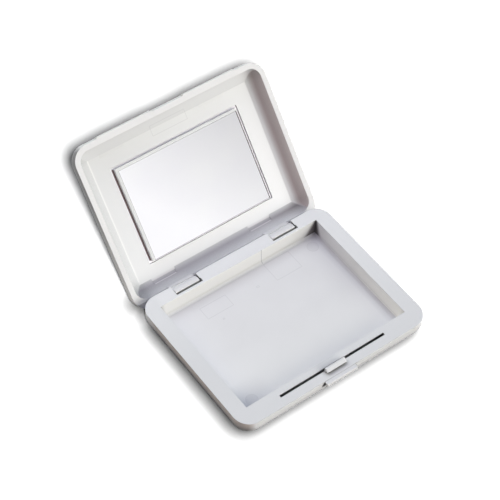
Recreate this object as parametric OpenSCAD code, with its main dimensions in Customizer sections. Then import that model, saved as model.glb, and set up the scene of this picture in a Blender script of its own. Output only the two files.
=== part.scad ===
// Wet palette case: a shallow lidded tray with a rounded outline.
// Units are millimetres, Z is up and the underside of the base stands at z = 0.
// The lid is drawn swung open about its hinge axis; the catch is drawn at its free position.

/* [Case] */
// Width of the case, along the hinge
case_w = 160; // [150:1:190]
// Depth of the case, from the press tab side to the hinge side
case_d = 125; // [118:1:145]
// Radius of the outline corners seen from above
corner_r = 12.5; // [11.5:0.5:14]
// Height of the base up to its rim
base_h = 16; // [15.5:0.5:19]
// Height of the upright band under the rim
band_h = 5.5; // [5:0.5:6]
// Thickness of the outer walls
wall = 1.8; // [1.6:0.1:2]

/* [Tray] */
// Width of the rim at the two sides
rim_side = 11.6; // [10.5:0.1:14]
// Width of the rim at the front
rim_front = 13.9; // [13.5:0.1:17]
// Width of the rim at the hinge side
rim_back = 10.2; // [10:0.1:10.6]
// Thickness of the rim plate
rim_t = 2; // [1.6:0.1:2.4]
// Draft of the tray walls over their height
draft = 1; // [0.6:0.1:1.4]
// Radius at the foot of the tray walls
foot_r = 2.2; // [1:0.1:3]

/* [Lid] */
// Height of the lid
lid_h = 14; // [13.8:0.1:14.1]
// Depth from the lip to the inner panel
lid_depth = 10.6; // [10.2:0.1:10.8]
// Width of the lip at the two sides
lip_side = 4; // [3:0.1:4]
// Width of the lip at the front
lip_front = 4.2; // [3.6:0.1:4.6]
// Angle the lid is swung open by
open_angle = 130.4; // [90:0.1:130.4]

/* [Mirror] */
// Width of the mirror plate
mirror_w = 103.2; // [90:0.1:110]
// Depth of the mirror plate
mirror_d = 71.4; // [60:0.1:75]
// Thickness of the mirror plate
mirror_t = 3.2; // [2.8:0.1:3.6]
// Width of the bevel ground round the mirror
bevel_w = 1.8; // [1:0.1:3]

/* [Hinge] */
// Width of one hinge arm
arm_w = 20.2; // [16:0.1:22]
// Distance between the inner ends of the two hinge pockets
pocket_span = 62.6; // [56:0.1:66]
// Radius of a hinge pin
pin_r = 1; // [0.8:0.05:1.1]

/* [Catch] */
// Length of the springing bar between the ends of its slit
bar_len = 89; // [80:0.5:96]
// Width of the slit behind the bar
slit_w = 2.1; // [1.8:0.1:2.3]
// Width of the catch hook
hook_w = 16.6; // [12:0.1:20]
// Width of the press tab
tab_w = 26; // [20:0.5:34]
// Length the press tab stands out from the front
tab_out = 3.2; // [2:0.1:4]

/* [Hidden] */
$fn = 64;
e = 1;
gap = 0.3;
seam_z = base_h - band_h;
edge_r = seam_z;
floor_t = 1.4;
shell_floor = 1.6;
floor_z = shell_floor + floor_t;
tray_wall = 1.8;
front_y = -case_d / 2;
back_y = case_d / 2;
well_x = case_w / 2 - rim_side;
well_y0 = front_y + rim_front;
well_y1 = back_y - rim_back;
hinge_y = back_y - 3;
hinge_z = base_h - 5;
barrel_r = 6.2;
relief_r = barrel_r + 0.4;
pocket_w = arm_w + 1.4;
pocket_y = well_y1 + tray_wall + 0.5;
pocket_x = [-pocket_span / 2 - pocket_w, pocket_span / 2];
cheek_w = 2.6;
pocket_z = hinge_z - relief_r - 0.2;
arm_y = pocket_y + gap;
lip_z = base_h + 0.2;
lip_back = back_y - arm_y - 0.2;
lid_edge = 9.5;
cove_r = 8.3;
cove_corner = max(corner_r - lip_side, cove_r + 0.1);
panel_z = lip_z + lid_depth;
cove_y = back_y - lip_back - cove_r;
relief_w = 19.6;
relief_foot = 3.2;
recess_d = 1.2;
recess_w = mirror_w + 5.2;
recess_l = mirror_d + 2.8;
pad_t = 0.3;
bevel_t = 0.5;
bar_y = front_y + 6.9;
plate_z = base_h - rim_t;
slit_lip = 0.7;
hook_h = 4.1;
hook_reach = 3.5;
hook_tip = bar_y - hook_reach;
nose_z = base_h + 2;
notch_w = 1.9;
swing_r = sqrt(pow(back_y - hinge_y, 2) + pow(base_h - hinge_z, 2)) + gap;
crown_r = 7;
arm_depth = 6.6;
arm_front = back_y - arm_depth;
pad_x = 13.6;
pad_len = 44.2;
rib_y = [-36, -12, 12, 36];
rib_x = 12;
side_rib_x = pocket_x[1] + pocket_w + cheek_w + 4.5;
rib_t = 1.2;
foot_in = [24, 22];
foot_x = case_w / 2 - foot_in[0];
foot_y = case_d / 2 - foot_in[1];
foot_ring_r = 7;
foot_ring_t = 1.2;
foot_ring_d = 0.4;
tongue_t = 1.2;
tongue_h = 1.5;
tongue_cut = 20;

tray_frame();
bottom_shell();
latch_bar();
lid_shell();
mirror_plate();
mirror_pad();
hinge_pin_left();
hinge_pin_right();

// Block with upright sides, given by its two far corners.
module block(x0, x1, y0, y1, z0, z1) {
    translate([x0, y0, z0])
        cube([x1 - x0, y1 - y0, z1 - z0]);
}

// Flat plate with rounded corners.
module round_plate(w, d, r, h) {
    linear_extrude(h)
        union() {
            square([w - 2 * r, d], center = true);
            square([w, d - 2 * r], center = true);
            for (sx = [-1, 1])
                for (sy = [-1, 1])
                    translate([sx * (w / 2 - r), sy * (d / 2 - r)])
                        circle(r);
        }
}

// Cross-section of a dish whose lower edges are rounded.
module dish_section(w, h, re) {
    translate([-w / 2, re])
        square([w, h - re]);
    translate([-w / 2 + re, 0])
        square([w - 2 * re, h]);
    for (s = [-1, 1])
        intersection() {
            translate([s * (w / 2 - re), re])
                circle(re);
            translate([s > 0 ? w / 2 - re : -w / 2, 0])
                square([re, re]);
        }
}

// Half cross-section used for the corners of a dish.
module dish_corner_section(rc, h, re) {
    translate([0, re])
        square([rc, h - re]);
    square([rc - re, h]);
    intersection() {
        translate([rc - re, re])
            circle(re);
        translate([rc - re, 0])
            square([re, re]);
    }
}

// Solid dish: rounded outline, rounded lower edge, flat at z = 0.
module dish(w, d, h, rc, re) {
    for (sx = [-1, 1])
        for (sy = [-1, 1])
            translate([sx * (w / 2 - rc), sy * (d / 2 - rc), 0])
                rotate_extrude()
                    dish_corner_section(rc, h, re);
    translate([-(w / 2 - rc), 0, 0])
        rotate([90, 0, 90])
            linear_extrude(w - 2 * rc)
                dish_section(d, h, re);
    translate([0, d / 2 - rc, 0])
        rotate([90, 0, 0])
            linear_extrude(d - 2 * rc)
                dish_section(w, h, re);
}

// Section of a drafted well with a radius at its foot.
module well_section(a0, a1, z0, z1, t, r) {
    k = t * r / (z1 - z0);
    difference() {
        polygon([[a0, z1 + e], [a1, z1 + e], [a1, z1], [a1 - t, z0], [a0 + t, z0], [a0, z1]]);
        difference() {
            translate([a1 - t + k - r, z0 - e])
                square([r + t + e, r + e]);
            translate([a1 - t + k - r, z0 + r])
                circle(r);
        }
        difference() {
            translate([a0 - e, z0 - e])
                square([r + t - k + e, r + e]);
            translate([a0 + t - k + r, z0 + r])
                circle(r);
        }
    }
}

// Drafted well, open at the top.
module well(x0, x1, y0, y1, z0, z1, t, r) {
    intersection() {
        translate([x0 - e, 0, 0])
            rotate([90, 0, 90])
                linear_extrude(x1 - x0 + 2 * e)
                    well_section(y0, y1, z0, z1, t, r);
        translate([0, y1 + e, 0])
            rotate([90, 0, 0])
                linear_extrude(y1 - y0 + 2 * e)
                    well_section(x0, x1, z0, z1, t, r);
    }
}

// Room inside the bottom shell.
module inner_room(less) {
    translate([0, 0, shell_floor])
        dish(case_w - 2 * wall - 2 * less, case_d - 2 * wall - 2 * less,
            base_h - shell_floor - rim_t + 0.2, corner_r - wall - less, edge_r - wall - less);
}

// Swings the lid parts open about the hinge axis.
module opened() {
    translate([0, hinge_y, hinge_z])
        rotate([-open_angle, 0, 0])
            translate([0, -hinge_y, -hinge_z])
                children();
}

// Cylinder along the hinge axis.
module hinge_rod(x0, x1, r) {
    translate([x0, hinge_y, hinge_z])
        rotate([0, 90, 0])
            cylinder(h = x1 - x0, r = r);
}

// Space cut out of the base for each hinge arm.
module hinge_pockets() {
    for (x = pocket_x) {
        block(x, x + pocket_w, pocket_y, back_y + e, pocket_z, base_h + e);
        hinge_rod(x, x + pocket_w, relief_r);
    }
}

// Cheeks that hold the ends of the hinge pins.
module hinge_cheeks() {
    intersection() {
        inner_room(0.1);
        for (x = pocket_x) {
            block(x - cheek_w, x, pocket_y - e, back_y, hinge_z - 4, base_h - e);
            block(x + pocket_w, x + pocket_w + cheek_w, pocket_y - e, back_y, hinge_z - 4, base_h - e);
        }
    }
}

// Upright strips where ribs stiffen the rim.
module rib_lines(t, z0, z1) {
    for (y = rib_y)
        block(-case_w / 2, case_w / 2, y - t / 2, y + t / 2, z0, z1);
    for (s = [-1, 1]) {
        x0 = s * (bar_len / 2 + 8);
        block(x0 - t / 2, x0 + t / 2, front_y, 0, z0, z1);
        block(s * side_rib_x - t / 2, s * side_rib_x + t / 2, 0, back_y, z0, z1);
        block(s * rib_x - t / 2, s * rib_x + t / 2, 0, back_y, z0, z1);
    }
}

// Ribs under the rim plate.
module rim_ribs() {
    intersection() {
        inner_room(0.1);
        rib_lines(rib_t, seam_z - 2, base_h - e);
    }
}

module tray_frame() {
    color("gainsboro")
        difference() {
            union() {
                translate([0, 0, plate_z])
                    round_plate(case_w, case_d, corner_r, rim_t);
                difference() {
                    translate([0, 0, seam_z])
                        round_plate(case_w, case_d, corner_r, band_h);
                    translate([0, 0, seam_z - e])
                        round_plate(case_w - 2 * wall, case_d - 2 * wall, corner_r - wall, band_h + 2 * e);
                }
                well(-well_x - tray_wall, well_x + tray_wall, well_y0 - tray_wall, well_y1 + tray_wall,
                    shell_floor, base_h - e, draft, foot_r + 1.4);
                hinge_cheeks();
                rim_ribs();
            }
            well(-well_x, well_x, well_y0, well_y1, floor_z, base_h, draft, foot_r);
            hinge_pockets();
            for (x = pocket_x)
                hinge_rod(x - cheek_w, x + pocket_w + cheek_w, pin_r + 0.02);
            block(-bar_len / 2 - gap, bar_len / 2 + gap, front_y - e, bar_y + slit_w,
                seam_z - 3, base_h + e);
            block(-bar_len / 2 - gap, bar_len / 2 + gap, bar_y, bar_y + slit_w + 1.4,
                plate_z - e, base_h - slit_lip);
        }
}

module bottom_shell() {
    color("whitesmoke")
        difference() {
            union() {
                difference() {
                    dish(case_w, case_d, seam_z, corner_r, edge_r - 0.01);
                    translate([0, 0, shell_floor])
                        dish(case_w - 2 * wall, case_d - 2 * wall, base_h, corner_r - wall, edge_r - wall);
                }
                shell_tongue();
            }
            hinge_pockets();
            foot_rings();
        }
}

// Low tongue that locates the tray frame on the bottom shell.
module shell_tongue() {
    difference() {
        union() {
            translate([0, 0, seam_z - tongue_h])
                round_plate(case_w - 2 * wall - 0.2, case_d - 2 * wall - 0.2, corner_r - wall - 0.1,
                    2 * tongue_h);
            translate([0, 0, seam_z - tongue_h])
                round_plate(case_w - wall, case_d - wall, corner_r - wall / 2, tongue_h);
        }
        translate([0, 0, seam_z - tongue_h - e])
            round_plate(case_w - 2 * (wall + tongue_t), case_d - 2 * (wall + tongue_t),
                corner_r - wall - tongue_t, 2 * tongue_h + 2 * e);
        block(-bar_len / 2 - wall, bar_len / 2 + wall, front_y, front_y + tongue_cut, 0, base_h);
        for (x = pocket_x)
            block(x - cheek_w - 0.2, x + pocket_w + cheek_w + 0.2, back_y - tongue_cut, back_y,
                0, base_h);
        rib_lines(rib_t + 0.4, 0, base_h);
    }
}

// Shallow rings moulded round the four standing points.
module foot_rings() {
    for (sx = [-1, 1])
        for (sy = [-1, 1])
            translate([sx * foot_x, sy * foot_y, -e])
                difference() {
                    cylinder(h = e + foot_ring_d, r = foot_ring_r);
                    translate([0, 0, -e])
                        cylinder(h = 3 * e, r = foot_ring_r - foot_ring_t);
                }
}

module latch_bar() {
    color("white")
        union() {
            difference() {
                union() {
                    block(-bar_len / 2, bar_len / 2, front_y, bar_y, plate_z, base_h);
                    block(-bar_len / 2, bar_len / 2, front_y, front_y + wall, seam_z + gap, base_h);
                }
                tab_notches();
            }
            press_tab();
            catch_hook();
        }
}

// Openings in the front band at both ends of the tab.
module tab_notches() {
    x0 = tab_w / 2 - 2.5;
    x1 = tab_w / 2 + notch_w;
    translate([0, front_y + wall + gap, 0])
        rotate([90, 0, 0])
            linear_extrude(wall + gap + e)
                for (s = [-1, 1])
                    polygon([
                        [s * x0, seam_z - e],
                        [s * x0, base_h - 1.5],
                        [s * (x1 - notch_w), base_h - 0.9],
                        [s * (x1 - notch_w + 0.3), base_h - 0.9],
                        [s * x1, base_h - 3.6],
                        [s * x1, seam_z - e]
                    ]);
}

// Tab pressed by a thumb to free the lid: a thin lip, hollow behind.
module press_tab() {
    tip = front_y - tab_out;
    translate([-tab_w / 2, 0, 0])
        rotate([90, 0, 90])
            linear_extrude(tab_w)
                polygon([
                    [front_y + 0.8, base_h - 0.2],
                    [tip + 0.5, base_h - 0.2],
                    [tip, base_h - 0.7],
                    [tip, base_h - 2.9],
                    [tip + 0.4, base_h - 3.3],
                    [tip + 1.2, base_h - 3.3],
                    [tip + 1.2, base_h - 1.5],
                    [front_y + 0.8, base_h - 1.5]
                ]);
}

// Hook with a sloped nose that reaches forward over the ledge of the lid.
module catch_hook() {
    translate([-hook_w / 2, 0, 0])
        rotate([90, 0, 90])
            linear_extrude(hook_w)
                polygon([
                    [bar_y, base_h - 0.5],
                    [bar_y, base_h + hook_h - 0.4],
                    [bar_y - 0.4, base_h + hook_h],
                    [hook_tip + 1.9, base_h + hook_h],
                    [hook_tip, nose_z + 0.3],
                    [hook_tip, nose_z],
                    [hook_tip + 1.6, nose_z],
                    [hook_tip + 1.6, base_h - 0.5]
                ]);
}

// Section of a hinge arm: barrel with a flat front and a low crown, level with the rim when open.
module arm_section() {
    intersection() {
        translate([hinge_y, hinge_z])
            circle(barrel_r);
        translate([hinge_y, hinge_z])
            rotate(open_angle)
                translate([-hinge_y, -hinge_z])
                    intersection() {
                        translate([arm_front + 1.1, base_h + 0.1 - crown_r])
                            circle(crown_r);
                        translate([arm_front, hinge_z - 2 * barrel_r])
                            square([20, 4 * barrel_r]);
                    }
    }
    translate([arm_y, hinge_z + 1])
        square([back_y - gap - arm_y, lip_z + 2.5 - hinge_z - 1]);
}

module hinge_arms() {
    for (x = pocket_x)
        translate([x + gap, 0, 0])
            rotate([90, 0, 90])
                linear_extrude(arm_w)
                    arm_section();
}

// Raised pads either side of the middle of the front wall.
module front_pads() {
    for (s = [-1, 1])
        translate([s > 0 ? pad_x : -pad_x - pad_len, 0, 0])
            rotate([90, 0, 90])
                linear_extrude(pad_len)
                    polygon([
                        [front_y + 1, lip_z],
                        [front_y - 0.9, lip_z],
                        [front_y - 0.9, lip_z + 3.2],
                        [front_y + 1, lip_z + 5.2]
                    ]);
}

// Tighter foot of the rear cove beside each arm.
module cove_reliefs() {
    y1 = cove_y + 1.9;
    for (x = pocket_x)
        translate([x - 4.6, 0, 0]) {
            block(0, relief_w, cove_y - e, y1, panel_z - relief_foot, panel_z);
            translate([0, y1, panel_z - relief_foot])
                rotate([0, 90, 0])
                    cylinder(h = relief_w, r = relief_foot);
        }
}

module lid_shell() {
    color("whitesmoke")
        opened()
            difference() {
                union() {
                    difference() {
                        union() {
                            translate([0, 0, lip_z + lid_h])
                                mirror([0, 0, 1])
                                    dish(case_w, case_d, lid_h, corner_r, lid_edge);
                            front_pads();
                        }
                        lid_room();
                        cove_reliefs();
                        hinge_rod(-case_w, case_w, swing_r);
                    }
                    hinge_arms();
                }
                for (x = pocket_x)
                    hinge_rod(x - e, x + pocket_w + e, pin_r + 0.05);
                block(-recess_w / 2, recess_w / 2, -recess_l / 2, recess_l / 2,
                    panel_z - e, panel_z + recess_d);
                block(-hook_w / 2 - 0.6, hook_w / 2 + 0.6, hook_tip - 0.4, hook_tip + 4,
                    lip_z + 1.4, lip_z + 4);
            }
}

// Hollow of the lid with coved walls.
module lid_room() {
    y0 = front_y + lip_front;
    y1 = back_y - lip_back;
    translate([0, (y0 + y1) / 2, panel_z])
        mirror([0, 0, 1])
            dish(case_w - 2 * lip_side, y1 - y0, lid_depth + e, cove_corner, cove_r);
}

module mirror_plate() {
    z1 = panel_z + recess_d - pad_t;
    z0 = z1 - mirror_t;
    color("lightsteelblue")
        opened()
            intersection() {
                translate([-mirror_w / 2, 0, 0])
                    rotate([90, 0, 90])
                        linear_extrude(mirror_w)
                            bevel_section(mirror_d, z0, z1);
                translate([0, mirror_d / 2, 0])
                    rotate([90, 0, 0])
                        linear_extrude(mirror_d)
                            bevel_section(mirror_w, z0, z1);
            }
}

// Section of the mirror with its ground bevels.
module bevel_section(w, z0, z1) {
    polygon([
        [-w / 2, z1],
        [w / 2, z1],
        [w / 2, z0 + bevel_t],
        [w / 2 - bevel_w, z0],
        [-w / 2 + bevel_w, z0],
        [-w / 2, z0 + bevel_t]
    ]);
}

module mirror_pad() {
    color("dimgray")
        opened()
            translate([0, 0, panel_z + recess_d - pad_t])
                block(-recess_w / 2 + gap, recess_w / 2 - gap,
                    -recess_l / 2 + gap, recess_l / 2 - gap, 0, pad_t);
}

module hinge_pin(x) {
    color("silver")
        hinge_rod(x - cheek_w + 0.1, x + pocket_w + cheek_w - 0.1, pin_r);
}

module hinge_pin_left() {
    hinge_pin(pocket_x[0]);
}

module hinge_pin_right() {
    hinge_pin(pocket_x[1]);
}
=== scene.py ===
"""Wet palette case: looks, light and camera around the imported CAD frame. Metres, +Z up."""

import math

import bmesh
import bpy
from mathutils import Matrix, Vector


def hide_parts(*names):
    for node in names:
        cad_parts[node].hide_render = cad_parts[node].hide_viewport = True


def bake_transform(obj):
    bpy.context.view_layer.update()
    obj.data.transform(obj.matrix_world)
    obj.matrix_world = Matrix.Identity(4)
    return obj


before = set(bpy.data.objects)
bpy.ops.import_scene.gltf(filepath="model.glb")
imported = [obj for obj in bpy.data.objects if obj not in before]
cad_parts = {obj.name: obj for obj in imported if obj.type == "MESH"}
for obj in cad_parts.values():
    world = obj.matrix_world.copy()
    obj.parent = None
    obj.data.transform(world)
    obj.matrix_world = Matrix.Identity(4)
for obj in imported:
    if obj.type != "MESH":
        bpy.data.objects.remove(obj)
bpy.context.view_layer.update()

MM = 0.001
FAR = 100 * MM  # past every edge of the object

# ---------------------------------------------------------------- sizes shared with the CAD part
CASE_W = 160 * MM
CASE_D = 125 * MM
BASE_H = 16 * MM
HINGE_Y = 59.5 * MM
HINGE_Z = 11 * MM
OPEN_ANGLE = math.radians(130.4)
BAR_HALF = 44.5 * MM
TAB_HALF = 13 * MM
MIRROR_X = 51.6 * MM
MIRROR_Y = 35.7 * MM
BEVEL = 1.8 * MM
POCKET_SPAN = 62.6 * MM
POCKET_W = 21.6 * MM
POCKET_Y = 54.6 * MM

# Tray: half sizes of the well, and the bands in which its faces lie.
WELL_X = 68.4 * MM
WELL_Y = 52.3 * MM
RIGHT_WALL = (66.5 * MM, 68.6 * MM)
REAR_WALL = (51 * MM, 52.6 * MM)
WALL_HEIGHT = (4 * MM, 15.7 * MM)
FLOOR_HEIGHT = (2.7 * MM, 4 * MM)
RIM_HEIGHT = (15.7 * MM, 21 * MM)
FRONT_FACE = (-70 * MM, -62.3 * MM)
FRONT_FACE_HEIGHT = (8 * MM, 15.7 * MM)
SIDE_X = 69 * MM  # the outer sides of the case lie beyond this

# Lid, shut: the space inside it and the crease between its panel and its walls.
PANEL_Z = 26.8 * MM
PANEL_NORMAL = (0, -math.sin(OPEN_ANGLE), -math.cos(OPEN_ANGLE))  # in the object, lid open
ROOM_X = (-76.1 * MM, 76.1 * MM)
ROOM_Y = (-58.4 * MM, 55.3 * MM)
ROOM_Z = (16.4 * MM, 27.5 * MM)
CREASE_X = 67.2 * MM
CREASE_FRONT = -49.3 * MM
CREASE_BACK = 46.9 * MM
RELIEFS = ((-57.5 * MM, -37.9 * MM), (26.7 * MM, 46.3 * MM))
RELIEF_DEPTH = 2 * MM
RELIEF_FEET = ((-56.5 * MM, -38.5 * MM), (27.5 * MM, 45.5 * MM))

# ---------------------------------------------------------------- moulded plastic
WALL_LEAN = 0.35  # of the lid's inner walls, in the shading only
# share of the painted light and shade in the plastic's colour
PAINTED_SHADING_SHARE = 0.85
MARK_SHARE = 0.22
# share of the painted highlight along the lid's creases
PAINTED_HIGHLIGHT_SHARE = 0.4
SEAM_WEIGHT = 3.3
EDGE_RADIUS = 0.35 * MM
GRAIN_DEPTH = 0.02 * MM
GRAIN_STRENGTH = 0.02
# reach and power of the painted shade in the lid's rear trench
TRENCH_REACH = 15 * MM
TRENCH_POWER = 1.4

# Marks of the mould on the tray floor, in mm: rectangles as left, right, front, back, and pin rings.
TRAY_LINES = (
    (-41.7, -19.5, 32.0, 43.0),
    (18.6, 41.0, 31.6, 49.0),
    (2.6, 5.0, 34.4, 36.0),
    (-33.2, -31.6, 25.6, 27.0),
)
TRAY_RINGS = ((-56.4, -39.2), (58.3, 41.6))
RING_RADIUS = 4.5 * MM

# ---------------------------------------------------------------- springing front bar
BAR_CUTS = 10
BAR_LAP = 1.5 * MM  # how far the bar runs into the rim at its fixed ends
SKIN = 0.02 * MM  # keeps its faces just clear of the rim's
NEAR = 0.01 * MM

# ---------------------------------------------------------------- camera and lights
CAMERA_PLACE = Vector((-0.43803, -0.50265, 0.92432))
CAMERA_RIGHT = Vector((0.80474, -0.59266, 0.03386))
CAMERA_DOWN = Vector((-0.44842, -0.64427, -0.61954))
CAMERA_AHEAD = Vector((0.38899, 0.48338, -0.78424))
FOCAL_PX = 1621.48
PICTURE_PX = 500
SENSOR = 36.0

KEY_PLACE = CAMERA_PLACE + CAMERA_RIGHT * 0.047 + CAMERA_DOWN * 0.009
KEY_WATTS = 166.0
KEY_SIZE = 0.1
PAPER_SIZE = 8
KEYED_REACH = (0.45, 0.7)  # the paper changes over here from lit by the key lamp to plain white
KEYED_WAY = (0.6, 0.75)  # way over the paper along which the key lamp falls off, and how far
KEYED_SPAN = (-0.135, 0.33)
CONTACT_LEAN = (0.61, -0.25, 0.75)
CONTACT_REACH = 11.5 * MM
FOOT_REACH = 5 * MM

SKY_LEVEL = 1.03
PATCH_POWER = 16.0
SKY_PATCHES = (  # way, colour
    ((0.49, -0.85, 0.21), (5.5, 5.4, 5.15)),
    ((0.85, -0.49, 0.21), (0.3, 0.25, 0.3)),
    ((-0.21, 0.78, 0.59), (0.65, 0.75, 0.45)),
    ((-0.57, 0.57, 0.59), (2.0, 2.0, 1.5)),
    ((0.21, -0.78, 0.59), (2.2, 1.9, 1.6)),
    ((0.57, -0.57, 0.59), (1.7, 2.0, 1.75)),
    ((-0.11, 0.49, 0.87), (2.7, 2.9, 3.2)),
    ((-0.45, 0.22, 0.87), (0.45, 0.15, 0.3)),
    ((0.09, 0.0, 1.0), (0.1, 0.25, 0.6)),
)
SWEEP_LEVEL = 3.595
SWEEP_FALL_X = 4.0
SWEEP_FALL_Z = 2.95
SWEEP_LOWEST = 0.62


def make_camera():
    data = bpy.data.cameras.new("camera")
    data.sensor_width = SENSOR
    data.lens = FOCAL_PX / PICTURE_PX * SENSOR
    data.clip_start = 0.01
    data.clip_end = 20
    camera = bpy.data.objects.new("camera", data)
    bpy.context.scene.collection.objects.link(camera)
    turn = Matrix((CAMERA_RIGHT, -CAMERA_DOWN, -CAMERA_AHEAD)).transposed()
    camera.matrix_world = Matrix.Translation(CAMERA_PLACE) @ turn.to_4x4()
    bpy.context.scene.camera = camera


# ---------------------------------------------------------------- node helpers
class Tree:
    """Short names for building a node tree."""

    def __init__(self, owner):
        owner.use_nodes = True
        self.tree = owner.node_tree
        self.tree.nodes.clear()

    def node(self, kind, **settings):
        made = self.tree.nodes.new("ShaderNode" + kind)
        for name, value in settings.items():
            setattr(made, name, value)
        return made

    def link(self, source, target):
        self.tree.links.new(source, target)

    def feed(self, socket, value):
        """Links a socket, or sets a plain value."""
        if isinstance(value, bpy.types.NodeSocket):
            self.link(value, socket)
        else:
            socket.default_value = value

    def coordinate(self, kind):
        return self.node("TexCoord").outputs[kind]

    def split(self, vector):
        made = self.node("SeparateXYZ")
        self.link(vector, made.inputs[0])
        return made.outputs

    def combine(self, x, y, z):
        made = self.node("CombineXYZ")
        for socket, value in zip(made.inputs, (x, y, z)):
            self.feed(socket, value)
        return made.outputs[0]

    def math(self, operation, a, b=0.0, clamp=False):
        made = self.node("Math", operation=operation, use_clamp=clamp)
        self.feed(made.inputs[0], a)
        self.feed(made.inputs[1], b)
        return made.outputs[0]

    def product(self, first, *others):
        """Everything multiplied; as a mask, where all of them hold."""
        for value in others:
            first = self.math("MULTIPLY", first, value)
        return first

    def minus(self, a, b):
        return self.math("SUBTRACT", a, b)

    def vector(self, operation, a, b=(0.0, 0.0, 0.0)):
        made = self.node("VectorMath", operation=operation)
        self.feed(made.inputs[0], a)
        self.feed(made.inputs[1], b)
        return made.outputs["Value" if operation == "DOT_PRODUCT" else "Vector"]

    def scale(self, vector, factor):
        made = self.node("VectorMath", operation="SCALE")
        self.feed(made.inputs[0], vector)
        self.feed(made.inputs["Scale"], factor)
        return made.outputs[0]

    def to_world(self, vector):
        made = self.node("VectorTransform", vector_type="VECTOR", convert_from="OBJECT", convert_to="WORLD")
        self.feed(made.inputs[0], vector)
        return made.outputs[0]

    def ramp(self, value, low, high, out_low=0.0, out_high=1.0):
        made = self.node("MapRange")
        for socket, number in zip(made.inputs[:5], (value, low, high, out_low, out_high)):
            self.feed(socket, number)
        return made.outputs[0]

    def within(self, value, low, high, blur=0.1 * MM):
        """1 between two limits and 0 outside them."""
        up = self.ramp(value, low - blur, low + blur)
        down = self.ramp(value, high - blur, high + blur, 1.0, 0.0)
        return self.product(up, down)

    def box(self, x, y, x_range, y_range):
        """1 inside a rectangle and 0 outside it."""
        return self.product(self.within(x, *x_range), self.within(y, *y_range))

    def distance(self, x, y, centre_x=0.0, centre_y=0.0):
        dx = self.minus(x, centre_x)
        dy = self.minus(y, centre_y)
        return self.math("SQRT", self.math("ADD", self.product(dx, dx), self.product(dy, dy)))

    def mix(self, factor, a, b, blend="MIX"):
        made = self.node("Mix", data_type="RGBA", blend_type=blend)
        self.feed(made.inputs[0], factor)
        self.feed(made.inputs[6], a)
        self.feed(made.inputs[7], b)
        return made.outputs[2]

    def noise(self, vector, scale, detail=2.0):
        made = self.node("TexNoise")
        self.feed(made.inputs["Vector"], vector)
        made.inputs["Scale"].default_value = scale
        made.inputs["Detail"].default_value = detail
        made.inputs["Roughness"].default_value = 0.5
        return made.outputs["Fac"]

    def openness(self, distance, samples, normal=None):
        """1 on an open face, less in crevices and beside other pieces."""
        made = self.node("AmbientOcclusion", samples=samples)
        made.inputs["Distance"].default_value = distance
        if normal is not None:
            self.link(normal, made.inputs["Normal"])
        return made.outputs["AO"]

    def principled(self, colour, roughness, normal=None, metallic=0.0, specular=0.5):
        shader = self.node("BsdfPrincipled")
        self.link(colour, shader.inputs["Base Color"])
        self.link(roughness, shader.inputs["Roughness"])
        if normal is not None:
            self.link(normal, shader.inputs["Normal"])
        shader.inputs["Metallic"].default_value = metallic
        shader.inputs["Specular IOR Level"].default_value = specular
        return shader.outputs[0]

    def diffuse(self, colour):
        shader = self.node("BsdfDiffuse")
        self.link(colour, shader.inputs["Color"])
        return shader.outputs[0]

    def background(self, colour, strength=1.0):
        shader = self.node("Background")
        self.feed(shader.inputs["Color"], colour)
        self.feed(shader.inputs["Strength"], strength)
        return shader.outputs[0]

    def choose(self, factor, first, second):
        """First shader where the factor is 0, second where it is 1."""
        made = self.node("MixShader")
        for socket, source in zip(made.inputs, (factor, first, second)):
            self.link(source, socket)
        return made.outputs[0]

    def show(self, shader, kind="OutputMaterial"):
        self.link(shader, self.node(kind).inputs[0])


def new_material(name):
    material = bpy.data.materials.new(name)
    return material, Tree(material)


def grey(r, g=None, b=None):
    """A colour written as sRGB 0-255, as linear RGBA."""
    g = r if g is None else g
    b = r if b is None else b
    out = []
    for v in (r, g, b):
        v = v / 255
        out.append(v / 12.92 if v <= 0.04045 else ((v + 0.055) / 1.055) ** 2.4)
    return (*out, 1.0)


# ---------------------------------------------------------------- inside of the lid
def as_if_shut(t, vector, centre=(0, 0, 0)):
    """A place or way on the open lid, as x, y and z with the lid shut."""
    turn = t.node("VectorRotate", rotation_type="X_AXIS")
    t.link(vector, turn.inputs["Vector"])
    turn.inputs["Center"].default_value = centre
    turn.inputs["Angle"].default_value = OPEN_ANGLE
    return t.split(turn.outputs[0])


def lid_place(t):
    """Where a point of the lid is, with the lid shut."""
    return as_if_shut(t, t.coordinate("Object"), (0, HINGE_Y, HINGE_Z))


def lid_inside(t, x, y, z):
    """1 on the panel and inner walls of the lid, 0 on its outer shell."""
    normal_x, normal_y, normal_z = as_if_shut(t, t.coordinate("Normal"))
    across = t.product(normal_x, t.math("DIVIDE", x, CASE_W / 2))
    along = t.product(normal_y, t.math("DIVIDE", y, CASE_D / 2))
    outward = t.math("ADD", t.math("ADD", across, along), t.product(normal_z, 0.7))
    room = t.product(t.box(x, y, ROOM_X, ROOM_Y), t.within(z, *ROOM_Z))
    return t.product(room, t.math("LESS_THAN", outward, 0.1))


def mitred(t, x, y):
    """Bands of the left, right, front and rear wall beyond the crease, mitred at the corners."""
    soft = 0.15 * MM
    mitre = 0.8 * MM
    past_x = t.minus(t.math("ABSOLUTE", x), CREASE_X)
    past_front = t.minus(CREASE_FRONT, y)
    past_back = t.minus(y, CREASE_BACK)
    past_y = t.math("MAXIMUM", past_front, past_back)
    sides = t.product(t.ramp(past_x, -soft, soft), t.ramp(t.minus(past_x, past_y), -mitre, mitre))
    ends = t.ramp(t.minus(past_y, past_x), -mitre, mitre)
    left = t.product(sides, t.math("LESS_THAN", x, 0.0))
    right = t.product(sides, t.math("GREATER_THAN", x, 0.0))
    front = t.product(ends, t.ramp(past_front, -soft, soft))
    back = t.product(ends, t.ramp(past_back, -soft, soft))
    return left, right, front, back


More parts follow.
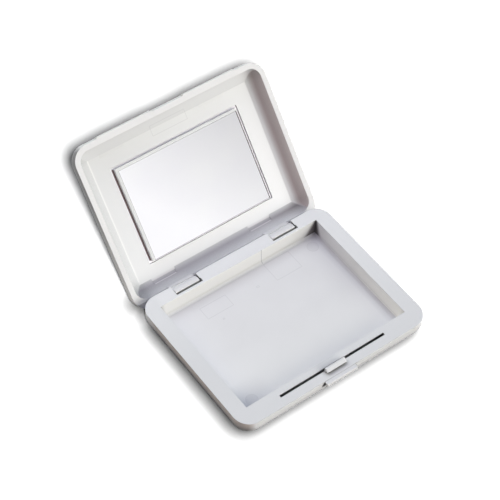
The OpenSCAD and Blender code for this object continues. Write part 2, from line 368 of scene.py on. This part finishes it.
def crease(t, facing):
    """Shading normal of the lid, whose walls meet the panel at a crease, not in a cove.

    Also gives the masks of the side walls and of the rear wall.
    """
    x, y, z = lid_place(t)
    inside = lid_inside(t, x, y, z)
    relief = t.math("ADD", *(t.within(x, *span) for span in RELIEFS))
    left, right, front, back = mitred(t, x, t.minus(y, t.product(relief, RELIEF_DEPTH)))
    across = t.minus(left, right)
    along = t.minus(front, back)
    lean = t.combine(across, t.product(along, math.cos(OPEN_ANGLE)), t.product(along, -math.sin(OPEN_ANGLE)))
    # The front wall runs on flat from the panel.
    flat = t.product(inside, front)
    bend = t.vector("ADD", t.scale(lean, t.product(inside, WALL_LEAN)), t.scale(PANEL_NORMAL, flat))
    own = t.scale(facing, t.minus(1.0, flat))
    normal = t.vector("NORMALIZE", t.vector("ADD", own, t.to_world(bend)))
    sides = t.product(inside, t.math("ADD", left, right, clamp=True))
    return normal, sides, t.product(inside, back)


def lid_painted_highlights(t):
    """Painted highlights along the lid's creases: along the left wall and at the foot of the two reliefs."""
    x, y, z = lid_place(t)
    left = t.box(x, y, (-CREASE_X - 0.3 * MM, -CREASE_X + 0.7 * MM), (CREASE_FRONT, 45 * MM))
    feet = t.math("ADD", *(t.within(x, *span) for span in RELIEF_FEET))
    feet = t.product(feet, t.within(y, 51 * MM, 51.5 * MM))
    return t.product(t.math("ADD", left, feet, clamp=True), t.within(z, 18 * MM, 27.5 * MM))


def lid_painted_shading(t, tint):
    """Painted light and shade over the inside of the lid, band by band, and painted shade on its left outer
    side.
    """
    x, y, z = lid_place(t)
    inside = lid_inside(t, x, y, z)
    _, right, front, back = mitred(t, x, y)
    right = t.product(right, t.within(x, 71.3 * MM, 75.3 * MM, 2 * MM))
    back = t.product(back, t.within(y, 48.6 * MM, 53 * MM, 2 * MM))
    lip = t.product(t.within(x, 73 * MM, FAR), t.minus(1.0, front))
    diagonal = t.math("ADD", x, y)
    # Painted light: the panel lighter towards its right-hand corner by the hinge.
    panel_painted_light = t.mix(t.ramp(diagonal, -116 * MM, 114 * MM), grey(215, 216, 219), grey(246, 247, 250))
    # Painted shade on the front wall band, a little lighter to the right, and on the rear wall, darker to
    # the right.
    front_wall_painted_shade = t.mix(t.ramp(x, -50 * MM, 50 * MM), grey(207, 208, 212), grey(217, 218, 222))
    rear_wall_painted_shade = t.mix(t.ramp(x, 40 * MM, 64 * MM), grey(186, 182, 192), grey(162, 155, 161))
    tone = t.mix(front, panel_painted_light, front_wall_painted_shade)
    # Painted shade on the right-hand lip and cove.
    tone = t.mix(lip, tone, grey(230, 221, 217))
    tone = t.mix(right, tone, grey(206, 191, 190))
    tone = t.mix(back, tone, rear_wall_painted_shade)
    # Painted shade on the lid's left outer side.
    normal_x, _, _ = t.split(t.coordinate("Normal"))
    shell = t.product(
        t.ramp(normal_x, -0.6, -0.25, 1.0, 0.0),
        t.math("LESS_THAN", x, -SIDE_X),
        t.ramp(y, -20 * MM, 45 * MM, 1.0, 0.0),
    )
    return t.mix(inside, t.mix(shell, tint, grey(84, 82, 84)), tone)


# ---------------------------------------------------------------- base
def side_painted_shade(t, tint):
    """Painted shade on the left-hand side and corner of the base, darker towards the foot."""
    normal_x, _, _ = t.split(t.coordinate("Normal"))
    x, y, z = t.split(t.coordinate("Object"))
    facing = t.product(
        t.ramp(normal_x, -0.6, -0.2, 1.0, 0.0),
        t.math("LESS_THAN", x, -SIDE_X),
        t.ramp(y, 40 * MM, 52 * MM, 1.0, 0.0),
    )
    height = t.ramp(z, 7 * MM, 15.8 * MM)
    return t.mix(facing, tint, t.mix(height, grey(60, 56, 56), grey(196, 180, 172)))


def tray_corner_painted_shade(t, x, y, z, right_wall, rear_wall):
    """Painted shade: dark wedges on both walls of the tray's rear right-hand corner, wider towards the
    floor.
    """
    low = t.ramp(z, 3 * MM, 15.5 * MM, 1.0, 0.0)
    on_rear = t.minus(t.product(low, 9.5 * MM), t.minus(WELL_X, x))
    on_side = t.minus(t.product(low, 6 * MM), t.minus(WELL_Y, y))
    return t.math(
        "MAXIMUM",
        t.product(rear_wall, t.ramp(on_rear, -3 * MM, 1 * MM)),
        t.product(right_wall, t.ramp(on_side, -3 * MM, 1 * MM)),
    )


def pocket_gap_painted_shadows(t, x, y):
    """Painted shadow on strips of rim along the front and the right-hand end of each hinge pocket."""
    gaps = 0.0
    for left in (-POCKET_SPAN / 2 - POCKET_W, POCKET_SPAN / 2):
        end = left + POCKET_W
        front = t.box(x, y, (left, end + 0.4 * MM), (POCKET_Y - 0.5 * MM, POCKET_Y + 0.1 * MM))
        side = t.box(x, y, (end - 0.1 * MM, end + 0.5 * MM), (POCKET_Y - 0.5 * MM, POCKET_Y + 2.6 * MM))
        gaps = t.math("MAXIMUM", gaps, t.math("MAXIMUM", front, side))
    return gaps


def base_painted_shading(t, tint):
    """Painted light and shade over the rim, floor and walls of the base, and painted shade on its left side.
    """
    tint = side_painted_shade(t, tint)
    x, y, z = t.split(t.coordinate("Object"))
    rim = t.within(z, *RIM_HEIGHT)
    floor = t.within(z, *FLOOR_HEIGHT)
    right_wall = t.box(x, z, RIGHT_WALL, WALL_HEIGHT)
    rear_wall = t.box(y, z, REAR_WALL, WALL_HEIGHT)
    front_face = t.box(y, z, FRONT_FACE, FRONT_FACE_HEIGHT)
    rim_painted_light = t.math(
        "SUBTRACT", t.ramp(y, -60 * MM, 60 * MM), t.ramp(x, -69 * MM, -64 * MM, 0.45, 0.0), clamp=True
    )
    near = t.ramp(y, -50 * MM, 0.0, 1.0, 0.0)
    corner = t.product(t.ramp(x, -66 * MM, -38 * MM, 1.0, 0.0), t.ramp(y, -47 * MM, -22 * MM, 1.0, 0.0))
    wall_foot_shade = t.ramp(x, 60 * MM, WELL_X)
    forward = t.ramp(y, 40 * MM, -45 * MM)
    wedges = tray_corner_painted_shade(t, x, y, z, right_wall, rear_wall)
    # Painted light: the rim lighter towards the back, darker at the front and the left edge.
    tint = t.mix(rim, tint, t.mix(rim_painted_light, grey(214, 215, 220), grey(230, 231, 235)))
    # Painted light and shade, in order: floor lighter at the front, shade in the floor's front-left corner,
    # rear wall, shadow on the floor by the right wall, wedges in the rear right corner, right wall lighter
    # towards the front, front face, shadows in the pocket gaps.
    for mask, tone in (
        (t.product(floor, near), grey(240, 240, 242)),
        (t.product(floor, corner), grey(168, 171, 181)),
        (rear_wall, grey(218, 218, 218)),
        (t.product(floor, wall_foot_shade), grey(196, 195, 202)),
        (wedges, grey(70, 60, 62)),
        (t.product(right_wall, forward), grey(253, 251, 247)),
        (t.product(front_face, 0.8), grey(214, 214, 216)),
        (t.product(pocket_gap_painted_shadows(t, x, y), rim), grey(30, 24, 28)),
    ):
        tint = t.mix(mask, tint, tone)
    return tint


# ---------------------------------------------------------------- marks of the mould
def outline(t, x, y, left, right, front, back, width=0.4 * MM):
    """Thin rectangle drawn on a face."""
    outer = t.box(x, y, (left, right), (front, back))
    inner = t.box(x, y, (left + width, right - width), (front + width, back - width))
    return t.minus(outer, inner)


def ring(t, x, y, centre_x, centre_y, radius, width=0.45 * MM):
    """Ring with a faintly toned middle, as an ejector pin leaves."""
    away = t.distance(x, y, centre_x, centre_y)
    disc = t.within(away, -FAR, radius)
    return t.product(disc, t.ramp(away, radius - width, radius - width * 0.6, 0.5, 1.0))


def tray_marks(t):
    """Lines and pin rings on the tray floor, and the seam on its rear wall."""
    x, y, z = t.split(t.coordinate("Object"))
    drawn = 0.0
    for edges in TRAY_LINES:
        drawn = t.math("ADD", drawn, outline(t, x, y, *(v * MM for v in edges)), clamp=True)
    for centre in TRAY_RINGS:
        drawn = t.math("ADD", drawn, ring(t, x, y, *(v * MM for v in centre), RING_RADIUS), clamp=True)
    floor = t.within(z, 2.7 * MM, 3.15 * MM)
    seam = t.box(x, y, (18.7 * MM, 19.2 * MM), (50 * MM, 52.6 * MM))
    return t.math("ADD", t.product(drawn, floor), t.product(seam, SEAM_WEIGHT))


def lid_marks(t):
    """Outline of the sliding core of the mould on the lid's panel."""
    x, y, z = lid_place(t)
    line = outline(t, x, y, -14.8 * MM, 15 * MM, -52 * MM, -44 * MM)
    return t.product(line, t.within(z, 24 * MM, PANEL_Z + 0.1 * MM))


# ---------------------------------------------------------------- materials
def moulded_plastic(name, colours, crevices, tone, marks=None, creased=False):
    """White moulded plastic: slight cloudiness, fine grain, softened edges, painted light and shade, and
    painted shade in crevices.

    Crevices are given as the reach and power of their painted shade; where it is creased, only the side
    walls have it.
    """
    material, t = new_material(name)
    place = t.coordinate("Object")
    cloud = t.noise(place, 28, 3)
    height = t.noise(place, 2600)
    tint = t.mix(t.ramp(cloud, 0.3, 0.7), *colours)
    # Painted light and shade from the tone function, mixed in.
    tint = t.mix(PAINTED_SHADING_SHARE, tint, tone(t, tint))
    if marks:
        drawn = marks(t)
        tint = t.mix(t.product(drawn, MARK_SHARE), tint, grey(150, 150, 158))
        height = t.minus(height, t.product(drawn, 2.0))
    edge = t.node("Bevel", samples=6)
    edge.inputs["Radius"].default_value = EDGE_RADIUS
    bump = t.node("Bump")
    bump.inputs["Strength"].default_value = GRAIN_STRENGTH
    bump.inputs["Distance"].default_value = GRAIN_DEPTH
    t.link(height, bump.inputs["Height"])
    t.link(edge.outputs[0], bump.inputs["Normal"])
    normal, where, rear = bump.outputs[0], 1.0, None
    if creased:
        normal, where, rear = crease(t, normal)
    reach, power = crevices
    # Painted shade in crevices, darker where the faces are less open.
    dark = t.math("POWER", t.openness(reach, 8), power)
    tint = t.mix(where, tint, t.mix(1.0, tint, dark, "MULTIPLY"))
    if creased:
        # Painted shade, deeper, in the lid's rear trench.
        deep = t.math("POWER", t.openness(TRENCH_REACH, 8), TRENCH_POWER)
        tint = t.mix(rear, tint, t.mix(1.0, tint, deep, "MULTIPLY"))
        # Painted highlight: near-white lines along the creases.
        tint = t.mix(t.product(lid_painted_highlights(t), PAINTED_HIGHLIGHT_SHARE), tint, grey(252))
    t.show(t.principled(tint, t.ramp(cloud, 0.2, 0.8, 0.38, 0.47), normal, specular=0.35))
    return material


def silvered_glass():
    """Mirror: silver under the face, pale glass round the edge, a painted dark line at the arris and painted
    shadow lines along the right-hand and near edges.
    """
    material, t = new_material("silvered_glass")
    haze = t.noise(t.coordinate("Object"), 40, 3)
    facing = t.vector("DOT_PRODUCT", t.coordinate("Normal"), PANEL_NORMAL)
    x, y, _ = lid_place(t)
    # The right-hand and near bevels are silvered too.
    right = t.product(
        t.math("GREATER_THAN", x, MIRROR_X - BEVEL * 1.3), t.math("GREATER_THAN", y, BEVEL - MIRROR_Y)
    )
    near = t.product(
        t.math("GREATER_THAN", y, MIRROR_Y - BEVEL * 1.3), t.math("GREATER_THAN", x, BEVEL - MIRROR_X)
    )
    edge = t.product(t.math("LESS_THAN", facing, 0.99), t.minus(1.0, t.math("MAXIMUM", right, near)))
    border = BEVEL * 1.25
    face = t.box(x, y, (border - MIRROR_X, MIRROR_X), (border - MIRROR_Y, MIRROR_Y))
    tint = t.mix(haze, grey(250, 249, 254), grey(254, 254, 255))
    # Painted shade: a fine dark line at the arris on the left-hand and far sides.
    tint = t.mix(t.product(t.minus(1.0, face), 0.35), tint, grey(120, 112, 112))
    # Painted shadow lines of the gap: soft grey along the near edge, dark along the right-hand edge.
    tint = t.mix(t.within(y, MIRROR_Y - 0.5 * MM, FAR), tint, grey(196, 193, 202))
    tint = t.mix(t.within(x, MIRROR_X - 0.7 * MM, FAR), tint, grey(84, 70, 74))
    silver = t.principled(tint, t.ramp(haze, 0.3, 0.7, 0.02, 0.035), t.to_world(PANEL_NORMAL), metallic=1.0)
    pale = t.mix(haze, grey(226, 228, 229), grey(236, 238, 238))
    glass = t.principled(pale, t.ramp(haze, 0.3, 0.7, 0.25, 0.35))
    t.show(t.choose(edge, silver, glass))
    return material


def steel():
    material, t = new_material("pin_steel")
    scratch = t.noise(t.coordinate("Object"), 900)
    tint = t.mix(scratch, grey(150), grey(185))
    t.show(t.principled(tint, t.ramp(scratch, 0.3, 0.7, 0.25, 0.45), metallic=1.0))
    return material


def foam_tape():
    """Tape under the mirror, dark partly in its own colour and partly as painted shade of the gap, with
    painted light on its far edge and the pale edge of the recess showing beyond it.
    """
    material, t = new_material("foam_tape")
    cells = t.noise(t.coordinate("Object"), 1800, 3)
    x, y, _ = lid_place(t)
    tape = t.box(
        x, y, (-MIRROR_X - 1.35 * MM, MIRROR_X + 1.2 * MM), (-MIRROR_Y - 1 * MM, MIRROR_Y - 0.6 * MM)
    )
    # Painted light: the tape along the far edge is pale, as if lit; elsewhere its dark colour is partly
    # painted shade.
    lit = t.ramp(y, -MIRROR_Y - 0.2 * MM, -MIRROR_Y + 0.2 * MM, 1.0, 0.0)
    dark = t.mix(lit, t.mix(cells, grey(118, 98, 98), grey(140, 122, 122)), grey(232, 231, 240))
    tint = t.mix(tape, grey(248, 246, 252), dark)
    t.show(t.principled(tint, t.ramp(cells, 0.3, 0.7, 0.8, 0.95)))
    return material


def dress(node_name, material):
    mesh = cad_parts[node_name].data
    mesh.materials.clear()
    mesh.materials.append(material)


# ---------------------------------------------------------------- springing front bar
def front_bar(side):
    """Half of the catch bar, cut into slices from the fixed end by the rim to the part with hook and tab."""
    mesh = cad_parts["latch_bar"].data.copy()
    bm = bmesh.new()
    bm.from_mesh(mesh)
    bmesh.ops.remove_doubles(bm, verts=bm.verts, dist=0.001 * MM)

    def cut(x, drop_inner=False):
        geometry = bm.verts[:] + bm.edges[:] + bm.faces[:]
        bmesh.ops.bisect_plane(
            bm, geom=geometry, plane_co=(side * x, 0, 0), plane_no=(side, 0, 0), clear_inner=drop_inner
        )

    cut(0, drop_inner=True)
    for step in range(BAR_CUTS):
        cut(TAB_HALF + 3 * MM + (BAR_HALF - TAB_HALF - 4 * MM) * step / (BAR_CUTS - 1))
    ends = [f for f in bm.faces if abs(f.calc_center_median().x) > BAR_HALF - NEAR]
    bmesh.ops.delete(bm, geom=ends, context="FACES")
    for vert in bm.verts:
        if abs(vert.co.x) > BAR_HALF - NEAR:
            vert.co.x = side * (BAR_HALF + BAR_LAP)
        if abs(vert.co.z - BASE_H) < NEAR:
            vert.co.z += SKIN
        if abs(vert.co.y + CASE_D / 2) < NEAR:
            vert.co.y -= SKIN
    bm.to_mesh(mesh)
    bm.free()
    bar = bpy.data.objects.new("front_bar_right" if side > 0 else "front_bar_left", mesh)
    bpy.context.scene.collection.objects.link(bar)
    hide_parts("latch_bar")
    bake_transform(bar)


# ---------------------------------------------------------------- floor, world and lamp
def paper():
    """White paper. Near the object only the key lamp brings it to white, so that it keeps the shadow."""
    material, t = new_material("floor_paper")
    place = t.coordinate("Object")
    x, y, _ = t.split(place)
    fibre = t.noise(place, 60)
    # Contact shadow: darkest where the object stands to the right of the point.
    contact = t.openness(CONTACT_REACH, 12, t.combine(*CONTACT_LEAN))
    foot = t.openness(FOOT_REACH, 12)
    clear = t.product(t.ramp(contact, 0.08, 0.85), t.ramp(foot, 0.4, 0.95, 0.68, 1.0))
    path = t.node("LightPath").outputs
    keyed = t.product(path["Is Camera Ray"], t.ramp(t.distance(x, y), *KEYED_REACH, 1.0, 0.0))
    # Dark tone that the key lamp, which falls off, brings to the same white all over.
    along = t.math("ADD", t.product(x, KEYED_WAY[0]), t.product(y, KEYED_WAY[1]))
    keyed_tone = t.mix(t.ramp(along, *KEYED_SPAN), grey(77), grey(114))
    keyed_tone = t.mix(t.product(fibre, 0.1), keyed_tone, grey(120))
    tone = t.mix(keyed, t.mix(fibre, grey(238), grey(242)), keyed_tone)
    glow = t.node("Emission")
    t.link(t.product(clear, t.ramp(keyed, 0.0, 1.0, 0.5, 0.0)), glow.inputs["Strength"])
    shown = t.node("AddShader")
    t.link(t.diffuse(t.mix(clear, grey(0), tone)), shown.inputs[0])
    t.link(glow.outputs[0], shown.inputs[1])
    bounce = t.diffuse(t.mix(clear, grey(0), t.mix(fibre, grey(148), grey(152))))
    seen = t.math("ADD", path["Is Camera Ray"], path["Is Glossy Ray"], clamp=True)
    t.show(t.choose(seen, bounce, shown.outputs[0]))
    return material


def make_floor():
    bpy.ops.mesh.primitive_plane_add(size=PAPER_SIZE, location=(0, 0, 0))
    floor = bpy.context.object
    floor.name = "floor"
    floor.data.materials.append(paper())
    return floor


def key_lamp(floor):
    """Lamp just beside the camera; it lights the paper alone, where the object's shadow falls."""
    data = bpy.data.lights.new("key_lamp", "AREA")
    data.shape = "DISK"
    data.size = KEY_SIZE
    data.energy = KEY_WATTS
    data.cycles.max_bounces = 0
    lamp = bpy.data.objects.new("key_lamp", data)
    bpy.context.scene.collection.objects.link(lamp)
    lamp.location = KEY_PLACE
    lamp.rotation_mode = "QUATERNION"
    lamp.rotation_quaternion = CAMERA_AHEAD.to_track_quat("-Z", "Y")
    lamp.visible_camera = False
    lamp.visible_glossy = False
    lit = bpy.data.collections.new("lit_by_key_lamp")
    lit.objects.link(floor)
    lamp.light_linking.receiver_collection = lit


def make_world():
    """Soft patches of sky light the object; it reflects a white sweep; the background is white."""
    world = bpy.data.worlds.new("studio")
    bpy.context.scene.world = world
    t = Tree(world)
    way = t.coordinate("Generated")
    x, _, z = t.split(way)
    light = (0.0, 0.0, 0.0)
    for axis, colour in SKY_PATCHES:
        facing = t.math("MAXIMUM", t.vector("DOT_PRODUCT", way, axis), 0.0)
        patch = t.scale([SKY_LEVEL * c for c in colour], t.math("POWER", facing, PATCH_POWER))
        light = t.vector("ADD", light, patch)
    # The sweep falls off to the right and upwards.
    fall = t.math("ADD", t.product(x, SWEEP_FALL_X), t.product(z, SWEEP_FALL_Z))
    level = t.math("MINIMUM", t.minus(SWEEP_LEVEL, fall), 1.0)
    sweep = t.background(grey(255), t.math("MAXIMUM", level, SWEEP_LOWEST))
    path = t.node("LightPath").outputs
    lit = t.choose(path["Is Glossy Ray"], t.background(light), sweep)
    t.show(t.choose(path["Is Camera Ray"], lit, t.background(grey(255))), "OutputWorld")


make_camera()
key_lamp(make_floor())
make_world()

base_plastic = moulded_plastic(
    "base_plastic", (grey(225, 225, 229), grey(221, 221, 225)), (4 * MM, 0.8), base_painted_shading, tray_marks
)
lid_plastic = moulded_plastic(
    "lid_plastic",
    (grey(228, 228, 230), grey(225, 225, 228)),
    (8 * MM, 1.5),
    lid_painted_shading,
    lid_marks,
    creased=True,
)
shell_plastic = moulded_plastic(
    "shell_plastic", (grey(226, 226, 230), grey(221, 221, 226)), (25 * MM, 0.6), side_painted_shade
)
dress("tray_frame", base_plastic)
dress("latch_bar", base_plastic)
dress("bottom_shell", shell_plastic)
front_bar(-1)
front_bar(1)
dress("lid_shell", lid_plastic)
dress("mirror_plate", silvered_glass())
dress("mirror_pad", foam_tape())
for name in ("hinge_pin_left", "hinge_pin_right"):
    dress(name, steel())

bpy.context.scene.view_settings.view_transform = "Standard"
